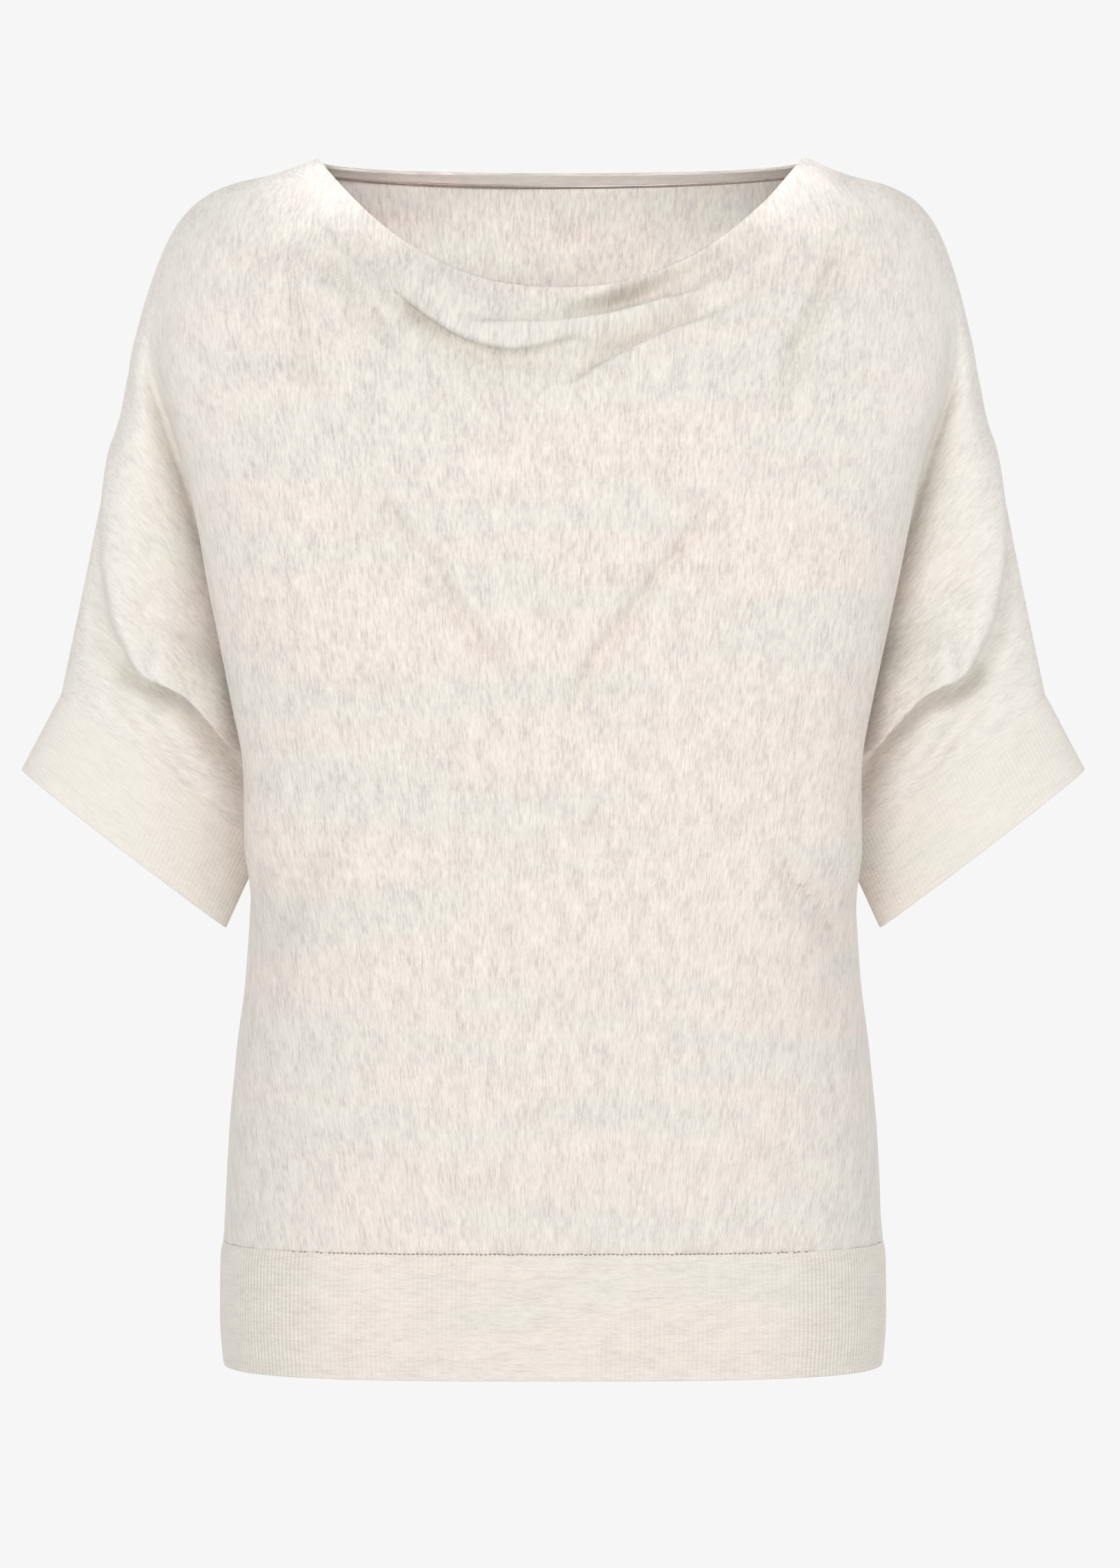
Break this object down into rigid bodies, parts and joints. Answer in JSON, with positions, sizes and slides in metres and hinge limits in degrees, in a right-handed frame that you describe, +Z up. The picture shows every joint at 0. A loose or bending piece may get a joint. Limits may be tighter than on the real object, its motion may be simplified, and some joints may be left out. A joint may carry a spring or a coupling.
{
  "type": "cowl neck batwing sweater",
  "caption": "Hollow, filled-out batwing sweater in fine marl knit with a draped cowl front, wide rib cuffs and a deep rib waistband.",
  "frame": {"origin": "midway between the two neck points, where the wearer's shoulders carry the sweater", "axes": "+Z up towards the neck, front faces -Y, +X to the viewer's right, which is the wearer's left"},
  "size_m": [0.5586, 0.2389, 0.6303],
  "materials": {
    "marl_knit": "fine oatmeal marl jersey knit, matt and soft",
    "marl_rib": "fine oatmeal marl rib knit, matt and soft"
  },
  "bodies": {
    "root": {"front": "marl_knit", "back": "marl_knit", "back_neckband": "marl_rib", "cuff_left": "marl_rib", "cuff_right": "marl_rib", "waistband": "marl_rib"}
  },
  "joints": []
}
